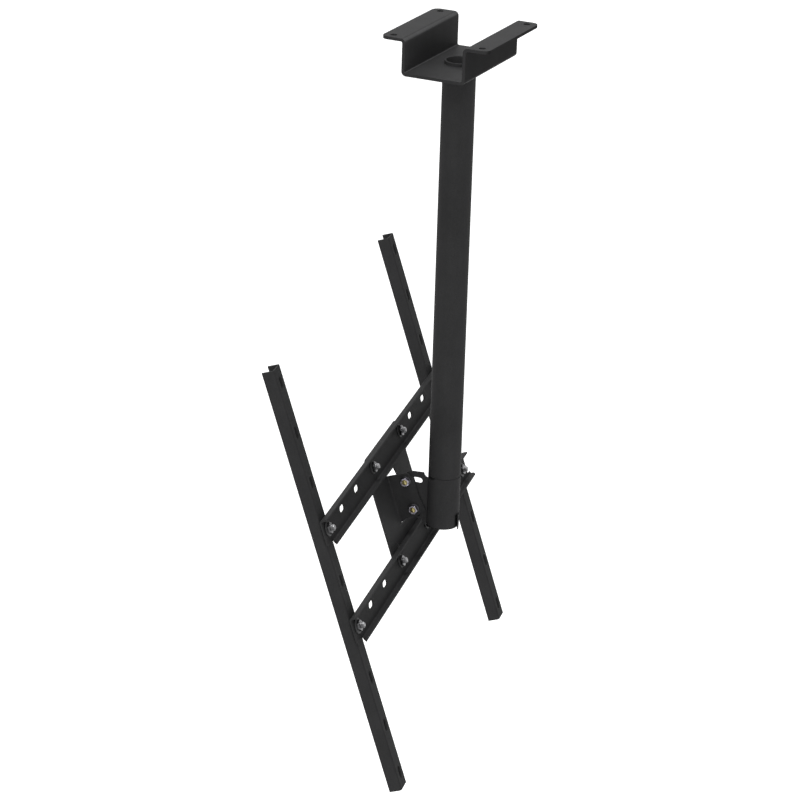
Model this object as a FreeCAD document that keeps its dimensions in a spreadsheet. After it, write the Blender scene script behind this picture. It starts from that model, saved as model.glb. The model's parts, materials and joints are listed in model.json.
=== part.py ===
import FreeCAD, Part
import Sketcher
import math
import os
from FreeCAD import Matrix, Placement, Rotation, Vector

# Ceiling mount for a flat screen.
# A folded bracket screws to the ceiling. A steel tube hangs from it and ends in
# a thinner neck, on which a rolled knuckle turns. The knuckle carries one flat
# ear, and a plate with a cheek folded out of its middle tilts on that ear.
# Two channel rails cross the plate and carry two slotted uprights for the
# screen.
# Origin: the tube's axis, in the plane of the ceiling (the top of the bracket's
# flanges). +Z is up, X runs across the bracket and Y along it.

os.makedirs("parts", exist_ok=True)
doc = FreeCAD.newDocument("ceiling_mount")
sheet = doc.addObject("Spreadsheet::Sheet", "Dims")

TABLE = [
    # ceiling bracket
    ("bracket_length", 117.0), ("bracket_width", 109.0), ("bracket_drop", 35.5),
    ("bracket_sheet", 3.0), ("bracket_web", 64.6), ("bracket_bend", 1.5),
    ("bracket_corner", 7.0), ("bracket_hole", 3.25),
    ("ceiling_hole_across", 90.0), ("ceiling_hole_along", 100.0),
    # tube and neck
    ("tube_radius", 15.875), ("tube_wall", 1.6), ("tube_top", -29.3),
    ("tube_end_radius", 14.3),
    ("tube_bottom", -448.6), ("neck_radius", 14.25), ("neck_wall", 2.0),
    ("neck_top", -415.0), ("neck_bottom", -501.8), ("lip_radius", 15.1),
    ("lip_height", 1.2),
    # swivel knuckle, its ear and its tab
    ("knuckle_bore", 14.33), ("knuckle_sheet", 1.6), ("knuckle_top", -448.9),
    ("knuckle_bottom", -500.4), ("ear_near", -5.5), ("ear_bend", 0.8),
    ("ear_top", -447.65), ("ear_corner", 4.8), ("ear_end", 43.0),
    ("ear_tail", 17.9), ("ear_foot", -502.2),
    ("pivot_out", 27.621), ("pivot_height", -485.637), ("pivot_round", 8.6),
    ("lock_radius", 29.45), ("lock_rest_angle", 18.03), ("lock_far_angle", 7.6),
    ("lock_slot", 2.8), ("tab_top", -487.4), ("tab_tip", -502.3),
    # tilting plate
    ("plate_sheet", 2.0), ("plate_near", -55.0), ("plate_far", 65.0),
    ("plate_half", 61.0), ("plate_corner", 8.0), ("cheek_near", -8.0),
    ("cheek_bend", 1.5), ("cheek_top", 26.5), ("cheek_low", -24.0),
    ("cheek_hole_out", 17.6), ("cheek_pivot", -10.5), ("cheek_lock", 18.95),
    ("window_far", 21.0), ("bolt_hole", 3.3), ("small_hole", 2.7),
    ("small_pitch", 75.0), ("inner_pitch", 100.0), ("plate_middle", 5.3),
    # rails
    ("rail_length", 439.0), ("rail_near", -211.0), ("rail_low", 15.5),
    ("rail_height", 28.3), ("rail_depth", 7.4),
    ("rail_sheet", 1.6), ("rail_bend", 1.2), ("rail_pitch", 100.0),
    ("rail_hole_radius", 3.2), ("rail_hole_reach", 3.6),
    # uprights
    ("upright_length", 430.0), ("upright_width", 20.0), ("upright_depth", 12.0),
    ("upright_sheet", 1.5), ("upright_bend", 1.0), ("upright_pitch", 400.0),
    ("upright_shift", -2.4), ("slot_pitch", 50.0), ("slot_length", 13.0),
    ("slot_width", 6.6),
    # fasteners: M6 with thin nuts on the rails, M5 at the pivot and the lock
    ("bolt_radius", 3.0), ("head_radius", 5.2), ("head_height", 3.0),
    ("nut_flats", 10.0), ("nut_height", 2.5), ("bolt_rise", 0.8),
    ("washer_radius", 7.75), ("plate_washer_radius", 6.5),
    ("washer_thickness", 1.2), ("washer_bore", 3.2),
    ("pin_radius", 2.5), ("pin_head_radius", 4.75), ("pin_head_height", 2.75),
    ("pin_nut_flats", 8.0), ("pin_nut_height", 4.4), ("pin_washer_radius", 5.0),
    ("pin_washer_bore", 2.65),
    # rest position
    ("rest_swivel", 10.98), ("rest_tilt", 18.03), ("frame_out", 47.607),
    ("frame_height", -481.10),
]


class Dim:
    """A size with its value and the expression that reads it from the sheet."""

    def __init__(self, value, text):
        self.value = float(value)
        self.text = text

    @staticmethod
    def of(item):
        return item if isinstance(item, Dim) else Dim(item, "%.6f" % float(item))

    def __add__(self, other):
        other = Dim.of(other)
        return Dim(self.value + other.value, "(%s + %s)" % (self.text, other.text))

    def __sub__(self, other):
        other = Dim.of(other)
        return Dim(self.value - other.value, "(%s - (%s))" % (self.text, other.text))

    def __mul__(self, factor):
        return Dim(self.value * factor, "(%s * %.6f)" % (self.text, factor))

    def __neg__(self):
        return Dim(-self.value, "(0 - %s)" % self.text)

    def __truediv__(self, factor):
        return self * (1.0 / factor)


D = {}
for row, (alias, value) in enumerate(TABLE, start=1):
    sheet.set("A%d" % row, alias)
    sheet.set("B%d" % row, repr(value))
    sheet.setAlias("B%d" % row, alias)
    D[alias] = Dim(value, "Dims.%s" % alias)
doc.recompute()
for alias, value in TABLE:
    if abs(float(getattr(sheet, alias)) - value) > 1e-9:
        raise RuntimeError("sheet cell %s" % alias)


# ---------------------------------------------------------------- frames
def turned(rows, base):
    """Placement from the three axes of a frame and its origin."""
    a, b, c = rows
    return Placement(Matrix(a.x, b.x, c.x, base.x, a.y, b.y, c.y, base.y,
                            a.z, b.z, c.z, base.z, 0, 0, 0, 1))


swivel = math.radians(90.0 + D["rest_swivel"].value)
tilt = math.radians(D["rest_tilt"].value)
RAIL = Vector(math.cos(swivel), math.sin(swivel), 0)      # along the rails
AWAY = Vector(math.sin(swivel), -math.cos(swivel), 0)     # level, away from the screen
UP = Vector(0, 0, 1)
RISE = UP * math.cos(tilt) - AWAY * math.sin(tilt)        # up along the uprights
FACE = AWAY * math.cos(tilt) + UP * math.sin(tilt)        # out of the plate's back

WORLD = Placement()
# swivel frame: x along the rails, y towards the screen, z up, on the tube's axis
SWIVEL = turned((RAIL, AWAY * -1, UP), Vector(0, 0, 0))
# screen frame: x along the rails, y up the uprights, z out of the plate's back
FRAME = turned((RAIL, RISE, FACE),
               AWAY * -D["frame_out"].value + UP * D["frame_height"].value)


def in_frame(x, y, z):
    return FRAME.multiply(Placement(Vector(x, y, z), Rotation()))


# ---------------------------------------------------------------- helpers
def body(label, place=None):
    item = doc.addObject("PartDesign::Body", label)
    item.Label = label
    item.AllowCompound = False
    if place is not None:
        item.Placement = place
    return item


def sketch(owner, role, name, height=0.0):
    item = owner.newObject("Sketcher::SketchObject", name)
    plane = [f for f in owner.Origin.OriginFeatures if f.Role == role][0]
    item.AttachmentSupport = [(plane, "")]
    item.MapMode = "FlatFace"
    height = Dim.of(height)
    item.AttachmentOffset = Placement(Vector(0, 0, height.value), Rotation())
    if abs(height.value) > 1e-9:
        item.setExpression("AttachmentOffset.Base.z", height.text)
    return item


def hold(item, geo, point, x, y):
    """Fix a sketch point by its two distances from the origin."""
    for kind, size, axis in (("DistanceX", Dim.of(x), -2), ("DistanceY", Dim.of(y), -1)):
        if abs(size.value) < 1e-9:
            item.addConstraint(Sketcher.Constraint("PointOnObject", geo, point, axis))
        else:
            index = item.addConstraint(
                Sketcher.Constraint(kind, -1, 1, geo, point, size.value))
            item.setExpression("Constraints[%d]" % index, size.text)


def radius_of(item, geo, size):
    size = Dim.of(size)
    index = item.addConstraint(Sketcher.Constraint("Radius", geo, size.value))
    item.setExpression("Constraints[%d]" % index, size.text)


def circle(item, x, y, size):
    x, y, size = Dim.of(x), Dim.of(y), Dim.of(size)
    geo = item.addGeometry(Part.Circle(Vector(x.value, y.value, 0), UP, size.value), False)
    radius_of(item, geo, size)
    hold(item, geo, 3, x, y)
    return geo


def outline(item, points, arcs=None):
    """Closed outline through points. arcs gives, for a side's index, its radius
    and the side it bulges to: +1 left of travel, -1 right of travel."""
    arcs = arcs or {}
    n = len(points)
    spots = [Vector(Dim.of(x).value, Dim.of(y).value, 0) for x, y in points]
    ends = []
    for i in range(n):
        a, b = spots[i], spots[(i + 1) % n]
        if i in arcs:
            size, side = arcs[i]
            r = Dim.of(size).value
            d = b - a
            left = Vector(-d.y, d.x, 0) * (1.0 / d.Length)
            rise = math.sqrt(r * r - d.Length ** 2 / 4)
            centre = (a + b) * 0.5 - left * (rise * side)
            first, last = (b, a) if side > 0 else (a, b)
            t0 = math.atan2(first.y - centre.y, first.x - centre.x)
            t1 = math.atan2(last.y - centre.y, last.x - centre.x)
            if t1 < t0:
                t1 += 2 * math.pi
            geo = item.addGeometry(
                Part.ArcOfCircle(Part.Circle(centre, UP, r), t0, t1), False)
            ends.append((geo, 2, 1) if side > 0 else (geo, 1, 2))
            radius_of(item, geo, size)
        else:
            geo = item.addGeometry(Part.LineSegment(a, b), False)
            ends.append((geo, 1, 2))
    for i in range(n):
        geo, start, stop = ends[i]
        following, begin, unused = ends[(i + 1) % n]
        item.addConstraint(Sketcher.Constraint("Coincident", geo, stop, following, begin))
        hold(item, geo, start, points[i][0], points[i][1])


def slot(item, x0, y0, x1, y1, size):
    """Round-ended slot between two centres."""
    x0, y0, x1, y1, size = [Dim.of(v) for v in (x0, y0, x1, y1, size)]
    a, b = Vector(x0.value, y0.value, 0), Vector(x1.value, y1.value, 0)
    r = size.value
    way = math.atan2(b.y - a.y, b.x - a.x)
    side = Vector(-math.sin(way), math.cos(way), 0) * r
    g0 = item.addGeometry(Part.ArcOfCircle(
        Part.Circle(a, UP, r), way + math.pi / 2, way + 3 * math.pi / 2), False)
    g1 = item.addGeometry(Part.ArcOfCircle(
        Part.Circle(b, UP, r), way - math.pi / 2, way + math.pi / 2), False)
    g2 = item.addGeometry(Part.LineSegment(a - side, b - side), False)
    g3 = item.addGeometry(Part.LineSegment(b + side, a + side), False)
    item.addConstraint(Sketcher.Constraint("Tangent", g0, 2, g2, 1))
    item.addConstraint(Sketcher.Constraint("Tangent", g2, 2, g1, 1))
    item.addConstraint(Sketcher.Constraint("Tangent", g1, 2, g3, 1))
    item.addConstraint(Sketcher.Constraint("Tangent", g3, 2, g0, 1))
    radius_of(item, g0, size)
    radius_of(item, g1, size)
    hold(item, g0, 3, x0, y0)
    hold(item, g1, 3, x1, y1)


def pad(owner, profile, length, name, centred=False, backwards=False):
    item = owner.newObject("PartDesign::Pad", name)
    item.Profile = profile
    item.SideType = "Symmetric" if centred else "One side"
    item.Reversed = backwards
    length = Dim.of(length)
    item.Length = length.value
    item.setExpression("Length", length.text)
    doc.recompute()
    if item.Shape.isNull() or not item.Shape.isValid():
        raise RuntimeError("pad " + name)
    return item


def pocket(owner, profile, length, name, loss=None):
    """Cut both ways from the profile's plane; the volume taken is checked."""
    before = owner.Shape.Volume
    item = owner.newObject("PartDesign::Pocket", name)
    item.Profile = profile
    item.SideType = "Symmetric"
    length = Dim.of(length)
    item.Length = length.value
    item.setExpression("Length", length.text)
    doc.recompute()
    taken = before - owner.Shape.Volume
    if taken < 0.5 or not item.Shape.isValid():
        raise RuntimeError("pocket %s took %.3f" % (name, taken))
    if loss is not None and abs(taken - loss) > 0.05 * loss + 1.0:
        raise RuntimeError("pocket %s took %.3f, not %.3f" % (name, taken, loss))
    return item


def repeat(owner, feature, role, span, count, name):
    before = owner.Shape.Volume
    item = owner.newObject("PartDesign::LinearPattern", name)
    item.Originals = [feature]
    axis = [f for f in owner.Origin.OriginFeatures if f.Role == role][0]
    item.Direction = (axis, [""])
    item.Mode = "Extent"
    span = Dim.of(span)
    item.Length = span.value
    item.setExpression("Length", span.text)
    item.Occurrences = count
    owner.Tip = item
    doc.recompute()
    if abs(before - owner.Shape.Volume) < 0.5:
        raise RuntimeError("pattern " + name)
    return item


def edges_at(shape, spots, direction=None):
    """Names of the edges whose middle lies at one of the given spots."""
    found = []
    for index, edge in enumerate(shape.Edges, start=1):
        first, last = edge.ParameterRange
        middle = edge.valueAt((first + last) / 2)
        if direction is not None:
            run = edge.valueAt(last) - edge.valueAt(first)
            if run.Length < 1e-6 or abs(run.dot(direction)) < 0.999 * run.Length:
                continue
        for spot in spots:
            if all(c is None or abs(middle[k] - c) < 0.05 for k, c in enumerate(spot)):
                found.append("Edge%d" % index)
                break
    return found


def fillet(owner, base, names, size, name, expect):
    if len(names) != expect:
        raise RuntimeError("fillet %s found %d edges, not %d" % (name, len(names), expect))
    item = owner.newObject("PartDesign::Fillet", name)
    item.Base = (base, names)
    size = Dim.of(size)
    item.Radius = size.value
    item.setExpression("Radius", size.text)
    doc.recompute()
    if item.Shape.isNull() or not item.Shape.isValid():
        raise RuntimeError("fillet " + name)
    return item


AXIS_X, AXIS_Y, AXIS_Z = Vector(1, 0, 0), Vector(0, 1, 0), Vector(0, 0, 1)
KEPT = []

# ---------------------------------------------------------------- ceiling bracket
# One folded sheet: two flanges against the ceiling, two webs and a base.
b = body("ceiling_bracket")
half_w, web = D["bracket_width"] / 2, D["bracket_web"] / 2
t, drop = D["bracket_sheet"], D["bracket_drop"]
s = sketch(b, "XZ_Plane", "bracket_profile")
outline(s, [(-half_w, 0), (-(web - t), 0), (-(web - t), -(drop - t)),
            (web - t, -(drop - t)), (web - t, 0), (half_w, 0), (half_w, -t),
            (web, -t), (web, -drop), (-web, -drop), (-web, -t), (-half_w, -t)])
p = pad(b, s, D["bracket_length"], "bracket_fold", centred=True)
w, ti, dr = web.value, t.value, drop.value
names = edges_at(p.Shape, [(w - ti, None, 0), (ti - w, None, 0), (w, None, -dr),
                           (-w, None, -dr)], AXIS_Y)
f = fillet(b, p, names, D["bracket_bend"] + t, "bracket_outer_bends", 4)
names = edges_at(f.Shape, [(w, None, -ti), (-w, None, -ti), (w - ti, None, ti - dr),
                           (ti - w, None, ti - dr)], AXIS_Y)
f = fillet(b, f, names, D["bracket_bend"], "bracket_inner_bends", 4)
hw, hl = half_w.value, D["bracket_length"].value / 2
names = edges_at(f.Shape, [(x, y, None) for x in (hw, -hw) for y in (hl, -hl)], AXIS_Z)
f = fillet(b, f, names, D["bracket_corner"], "flange_corners", 4)
s = sketch(b, "XY_Plane", "ceiling_holes")
for x in (D["ceiling_hole_across"] / 2, -(D["ceiling_hole_across"] / 2)):
    for y in (D["ceiling_hole_along"] / 2, -(D["ceiling_hole_along"] / 2)):
        circle(s, x, y, D["bracket_hole"])
pocket(b, s, D["bracket_sheet"] * 3, "ceiling_holes_cut",
       4 * math.pi * D["bracket_hole"].value ** 2 * ti)
s = sketch(b, "XY_Plane", "tube_hole", -drop)
circle(s, 0, 0, D["tube_end_radius"])
pocket(b, s, D["bracket_sheet"] * 3, "tube_hole_cut",
       math.pi * D["tube_end_radius"].value ** 2 * ti)
KEPT.append(b)

# ---------------------------------------------------------------- tube and neck
b = body("pole_tube")
s = sketch(b, "XZ_Plane", "tube_profile")
ro, ri = D["tube_radius"], D["tube_radius"] - D["tube_wall"]
re, rb = D["tube_end_radius"], D["tube_end_radius"] - D["tube_wall"]
seat = -D["bracket_drop"]
outline(s, [(ri, D["tube_bottom"]), (ro, D["tube_bottom"]), (ro, seat), (re, seat),
            (re, D["tube_top"]), (rb, D["tube_top"]), (rb, seat - D["tube_wall"]),
            (ri, seat - D["tube_wall"])])
r = b.newObject("PartDesign::Revolution", "tube_turned")
r.Profile = s
r.ReferenceAxis = (s, ["V_Axis"])
r.Angle = 360.0
doc.recompute()
KEPT.append(b)

# The neck slides up inside the tube and is plug welded there. Its lower end is
# rolled out into a lip that carries the knuckle.
b = body("neck_tube")
ro, ri = D["neck_radius"], D["neck_radius"] - D["neck_wall"]
s = sketch(b, "XZ_Plane", "neck_profile")
outline(s, [(ri, D["neck_bottom"]), (D["lip_radius"], D["neck_bottom"]),
            (D["lip_radius"], D["neck_bottom"] + D["lip_height"]),
            (ro, D["neck_bottom"] + D["lip_height"]), (ro, D["neck_top"]),
            (ri, D["neck_top"])])
r = b.newObject("PartDesign::Revolution", "neck_turned")
r.Profile = s
r.ReferenceAxis = (s, ["V_Axis"])
r.Angle = 360.0
doc.recompute()
KEPT.append(b)

# ---------------------------------------------------------------- swivel knuckle
# One sheet rolled round the neck; its end turns back and runs on as a flat ear.
b = body("swivel_knuckle", SWIVEL)
bore = D["knuckle_bore"]
outer = D["knuckle_bore"] + D["knuckle_sheet"]
s = sketch(b, "XY_Plane", "knuckle_section", D["knuckle_bottom"])
circle(s, 0, 0, outer)
circle(s, 0, 0, bore)
p = pad(b, s, D["knuckle_top"] - D["knuckle_bottom"], "knuckle_roll")
# the roll's top falls away where the sheet turns out into the ear
ear_t = D["knuckle_sheet"]
top, low = D["ear_top"], D["knuckle_bottom"]
shoulder = top - D["ear_corner"]
s = sketch(b, "YZ_Plane", "roll_relief", -11.0)
outline(s, [(5.5, top + 0.6), (5.5, top - 1.55), (9.0, top - 3.55), (12.0, shoulder),
            (20.0, shoulder), (20.0, top + 0.6)])
pocket(b, s, 14.2, "roll_relief_cut")
# the ear, flat and square to the rails, seen along the rails
px, pz = D["pivot_out"], D["pivot_height"]
pr = D["pivot_round"].value
s = sketch(b, "YZ_Plane", "ear_outline", D["ear_near"])
q0 = (Dim.of(14.5), shoulder)
q0b = (Dim.of(14.5) + D["ear_corner"], top)
q1 = (Dim.of(31.0), top)
q2 = (D["ear_end"], top - 9.0)
q3 = (D["ear_end"], top - 14.0)
# the lower edge rounds the pivot and ends in a short foot beside the neck's lip
a_in = math.radians(12.0)
a_out = math.radians(-128.0)
q4 = (px + pr * math.cos(a_in), pz + pr * math.sin(a_in))
q5 = (px + pr * math.cos(a_out), pz + pr * math.sin(a_out))
q6 = (D["ear_tail"], D["ear_foot"])
q7 = (Dim.of(15.6), D["ear_foot"])
q8 = (Dim.of(15.6), low)
q9 = (Dim.of(14.35), low)
outline(s, [q0, q0b, q1, q2, q3, q4, q5, q6, q7, q8, q9],
        {0: (D["ear_corner"], -1), 2: (17.0, 1), 5: (D["pivot_round"], 1)})
pad(b, s, ear_t, "ear")
# reverse bend between roll and ear, on the near side
names = []
for index, edge in enumerate(b.Tip.Shape.Edges, start=1):
    v = edge.valueAt((edge.ParameterRange[0] + edge.ParameterRange[1]) / 2)
    if (abs(v.x - D["ear_near"].value) < 0.01 and 14.4 < v.y < 15.4
            and edge.Length > 30):
        names.append("Edge%d" % index)
f = fillet(b, b.Tip, names, D["ear_bend"], "ear_reverse_bend", 1)
# the roll stops short of the ear's far side
s = sketch(b, "XY_Plane", "roll_gap", D["knuckle_bottom"])
gap_x = D["ear_near"] + ear_t
outline(s, [(gap_x, 12.5), (gap_x + 0.9, 12.5), (gap_x + 0.9, 16.5), (gap_x, 16.5)])
pocket(b, s, D["knuckle_top"] * -2.0 - 700.0, "roll_gap_cut")
# a tab lanced from the roll low down, on the side away from the screen, and
# bent out of it
s = sketch(b, "XY_Plane", "tab_window", D["knuckle_bottom"])
outline(s, [(-7.9, -17.0), (1.5, -17.0), (1.5, -12.0), (-7.9, -12.0)])
pocket(b, s, (D["tab_top"] - D["knuckle_bottom"] + 0.1) * 2.0, "tab_window_cut")
s = sketch(b, "XY_Plane", "tab_section", D["tab_tip"])
outline(s, [(3.0, -14.05), (-6.75, -16.18), (-7.1, -17.75), (3.0, -15.6)])
pad(b, s, D["tab_top"] - D["tab_tip"], "tab")
s = sketch(b, "XZ_Plane", "tab_foot", 16.0)
outline(s, [(-9.0, D["tab_tip"] - 0.63), (-7.1, D["tab_tip"]),
            (-1.5, D["knuckle_bottom"] - 0.05), (4.0, D["knuckle_bottom"] - 0.05),
            (4.0, D["tab_tip"] - 1.5), (-9.0, D["tab_tip"] - 1.5)])
pocket(b, s, 10.0, "tab_foot_cut")
# pivot hole and lock slot
s = sketch(b, "YZ_Plane", "pivot_hole", D["ear_near"])
circle(s, px, pz, D["pin_radius"] + 0.3)
pocket(b, s, ear_t * 4.0, "pivot_hole_cut",
       math.pi * (D["pin_radius"].value + 0.3) ** 2 * ear_t.value)
lr, lw = D["lock_radius"].value, D["lock_slot"].value
ends = []
for degrees in (90.0 - D["lock_rest_angle"].value - 0.6, 90.0 + D["lock_far_angle"].value + 0.6):
    ends.append(math.radians(degrees))
s = sketch(b, "YZ_Plane", "lock_slot", D["ear_near"])
a0, a1 = ends
spots = []
for rad, ang in ((lr + lw, a0), (lr + lw, a1), (lr - lw, a1), (lr - lw, a0)):
    spots.append((px + rad * math.cos(ang), pz + rad * math.sin(ang)))
geos = []
centre = Vector(px.value, pz.value, 0)
geos.append(s.addGeometry(Part.ArcOfCircle(Part.Circle(centre, UP, lr + lw), a0, a1), False))
c1 = centre + Vector(math.cos(a1), math.sin(a1), 0) * lr
geos.append(s.addGeometry(Part.ArcOfCircle(Part.Circle(c1, UP, lw), a1, a1 + math.pi), False))
geos.append(s.addGeometry(Part.ArcOfCircle(Part.Circle(centre, UP, lr - lw), a0, a1), False))
c0 = centre + Vector(math.cos(a0), math.sin(a0), 0) * lr
geos.append(s.addGeometry(Part.ArcOfCircle(Part.Circle(c0, UP, lw), a0 + math.pi, a0 + 2 * math.pi), False))
s.addConstraint(Sketcher.Constraint("Coincident", geos[0], 2, geos[1], 1))
s.addConstraint(Sketcher.Constraint("Coincident", geos[1], 2, geos[2], 2))
s.addConstraint(Sketcher.Constraint("Coincident", geos[2], 1, geos[3], 1))
s.addConstraint(Sketcher.Constraint("Coincident", geos[3], 2, geos[0], 1))
hold(s, geos[0], 3, px, pz)
hold(s, geos[2], 3, px, pz)
radius_of(s, geos[0], D["lock_radius"] + D["lock_slot"])
radius_of(s, geos[2], D["lock_radius"] - D["lock_slot"])
pocket(b, s, ear_t * 4.0, "lock_slot_cut",
       (2 * lw * lr * (a1 - a0) + math.pi * lw ** 2) * ear_t.value)
KEPT.append(b)

# ---------------------------------------------------------------- tilting plate
# One sheet. The cheek is cut free on three sides and folded out of the window.
b = body("tilt_plate", FRAME)
tp = D["plate_sheet"]
near, far, half = D["plate_near"], D["plate_far"], D["plate_half"]
s = sketch(b, "XY_Plane", "plate_outline", -tp)
outline(s, [(near, -half), (far, -half), (far, half), (near, half)])
p = pad(b, s, tp, "plate_sheet_pad")
names = edges_at(p.Shape, [(x, y, None) for x in (near.value, far.value)
                           for y in (half.value, -half.value)], AXIS_Z)
f = fillet(b, p, names, D["plate_corner"], "plate_corners", 4)
fold = D["cheek_near"] - D["cheek_bend"]
ct, cl = D["cheek_top"], D["cheek_low"]
s = sketch(b, "XY_Plane", "window", -tp)
outline(s, [(fold, cl - 1.7), (D["window_far"] + 2.0, cl - 1.7),
            (D["window_far"] + 2.0, 16.5), (D["window_far"] - 2.3, ct + 0.6),
            (fold, ct + 0.6)])
p = pocket(b, s, tp * 4.0, "window_cut")
s = sketch(b, "XZ_Plane", "cheek_profile", -ct)
cx = D["cheek_near"]
cheek_out = Dim.of(29.5)
outline(s, [(fold - 0.5, -tp), (cx + tp, -tp), (cx + tp, cheek_out), (cx, cheek_out),
            (cx, 0.0), (fold - 0.5, 0.0)])
p = pad(b, s, ct - cl, "cheek", backwards=False)
if not b.Tip.Shape.BoundBox.YMax < half.value + 0.01:
    raise RuntimeError("cheek side")
mid = (ct.value + cl.value) / 2
names = edges_at(b.Tip.Shape, [(cx.value + tp.value, mid, -tp.value)], AXIS_Y)
f = fillet(b, b.Tip, names, D["cheek_bend"] + tp, "cheek_outer_bend", 1)
names = edges_at(b.Tip.Shape, [(cx.value, mid, 0.0)], AXIS_Y)
f = fillet(b, b.Tip, names, D["cheek_bend"], "cheek_inner_bend", 1)
# the cheek's free edge runs out a little towards its lower end, and its lower
# end draws back towards the plate
s = sketch(b, "YZ_Plane", "cheek_trim", D["cheek_near"])
outline(s, [(ct + 1.0, 40.0), (ct + 1.0, 18.5), (ct - 1.5, 22.0), (ct - 6.5, 25.6),
            (-1.0, 26.2), (-8.5, 27.6), (-15.1, 28.4), (-18.2, 19.0), (-19.7, 6.5),
            (-22.7, 0.5), (cl - 1.0, 0.5), (cl - 1.0, 40.0)])
pocket(b, s, tp * 4.0, "cheek_trim_cut")
# holes
pivot_y = D["cheek_pivot"]
lock_y = D["cheek_lock"]
s = sketch(b, "YZ_Plane", "cheek_holes", D["cheek_near"])
cheek_z = D["cheek_hole_out"]
circle(s, pivot_y, cheek_z, D["pin_radius"] + 0.08)
circle(s, lock_y, cheek_z, D["pin_radius"] + 0.1)
pocket(b, s, tp * 4.0, "cheek_holes_cut")
s = sketch(b, "XY_Plane", "small_holes", -tp)
mx = D["plate_middle"]
for x in (mx - D["small_pitch"] / 2, mx + D["small_pitch"] / 2):
    for y in (D["small_pitch"] / 2, -(D["small_pitch"] / 2)):
        circle(s, x, y, D["small_hole"])
pocket(b, s, tp * 4.0, "small_holes_cut")
s = sketch(b, "XY_Plane", "inner_bolt_holes", -tp)
for x in (mx - D["inner_pitch"] / 2, mx + D["inner_pitch"] / 2):
    for y in (D["rail_pitch"] / 2, -(D["rail_pitch"] / 2)):
        circle(s, x, y + D["bolt_rise"], D["bolt_hole"])
pocket(b, s, tp * 4.0, "inner_bolt_holes_cut",
       4 * math.pi * D["bolt_hole"].value ** 2 * tp.value)
KEPT.append(b)

# ---------------------------------------------------------------- rails
# Channels with their web against the plate and their lips towards the tube.
for label, side in (("upper_rail", 1), ("lower_rail", -1)):
    b = body(label, in_frame(0.0, side * D["rail_pitch"].value / 2, 0.0))
    lo, dd, tr = D["rail_low"], D["rail_depth"], D["rail_sheet"]
    hh = D["rail_height"] - lo
    s = sketch(b, "YZ_Plane", "rail_section", D["rail_near"])
    outline(s, [(-lo, 0.0), (hh, 0.0), (hh, dd), (hh - tr, dd), (hh - tr, tr),
                (tr - lo, tr), (tr - lo, dd), (-lo, dd)])
    p = pad(b, s, D["rail_length"], "rail_run")
    hv, lv, tv = hh.value, lo.value, tr.value
    names = edges_at(p.Shape, [(None, hv, 0), (None, -lv, 0)], AXIS_X)
    f = fillet(b, p, names, D["rail_bend"] + tr, "rail_outer_bends", 2)
    names = edges_at(f.Shape, [(None, hv - tv, tv), (None, tv - lv, tv)], AXIS_X)
    f = fillet(b, f, names, D["rail_bend"], "rail_inner_bends", 2)
    # at the far end the web is cut back above the lower flange
    end = D["rail_near"] + D["rail_length"]
    s = sketch(b, "XY_Plane", "far_end")
    outline(s, [(end - 9.0, hh + 1.0), (end - 9.0, -(lo - 5.4)), (end - 4.0, -(lo - 3.6)),
                (end + 1.0, -(lo - 3.6)), (end + 1.0, hh + 1.0)])
    pocket(b, s, dd * 4.0, "far_end_cut")
    # and that flange's free corner slants off
    s = sketch(b, "XZ_Plane", "far_corner")
    outline(s, [(end - 3.5, dd + 0.4), (end + 1.0, dd - 3.4), (end + 1.0, dd + 1.0),
                (end - 3.5, dd + 1.0)])
    pocket(b, s, D["rail_height"] * 2.0, "far_corner_cut")
    # at the near end the lower flange is the one that draws back
    start = D["rail_near"]
    s = sketch(b, "XZ_Plane", "near_corner", lo - tr / 2 - 0.5)
    outline(s, [(start - 1.0, -0.5), (start + 17.5, -0.5), (start + 17.5, 1.0),
                (start + 6.5, 7.9), (start - 1.0, 8.4)])
    pocket(b, s, 3.0, "near_corner_cut")
    # adjustment slots, two at each end
    reach, up = D["rail_hole_reach"], D["bolt_rise"]
    s = sketch(b, "XY_Plane", "adjust_hole")
    x0 = Dim.of(-150.0)
    slot(s, x0 - reach, up, x0 + reach, up, D["rail_hole_radius"])
    k = pocket(b, s, D["rail_sheet"] * 4.0, "adjust_hole_cut")
    repeat(b, k, "X_Axis", 50.0, 2, "adjust_hole_pair")
    s = sketch(b, "XY_Plane", "adjust_hole_far")
    x0 = Dim.of(100.0)
    slot(s, x0 - reach, up, x0 + reach, up, D["rail_hole_radius"])
    k = pocket(b, s, D["rail_sheet"] * 4.0, "adjust_hole_far_cut")
    repeat(b, k, "X_Axis", 50.0, 2, "adjust_hole_far_pair")
    s = sketch(b, "XY_Plane", "rail_bolt_holes")
    up = D["upright_pitch"] / 2
    for x in (-up, up, D["plate_middle"] - D["inner_pitch"] / 2,
              D["plate_middle"] + D["inner_pitch"] / 2):
        circle(s, x, D["bolt_rise"], D["bolt_hole"])
    pocket(b, s, D["rail_sheet"] * 4.0, "rail_bolt_holes_cut",
           4 * math.pi * D["bolt_hole"].value ** 2 * tv)
    KEPT.append(b)

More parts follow.
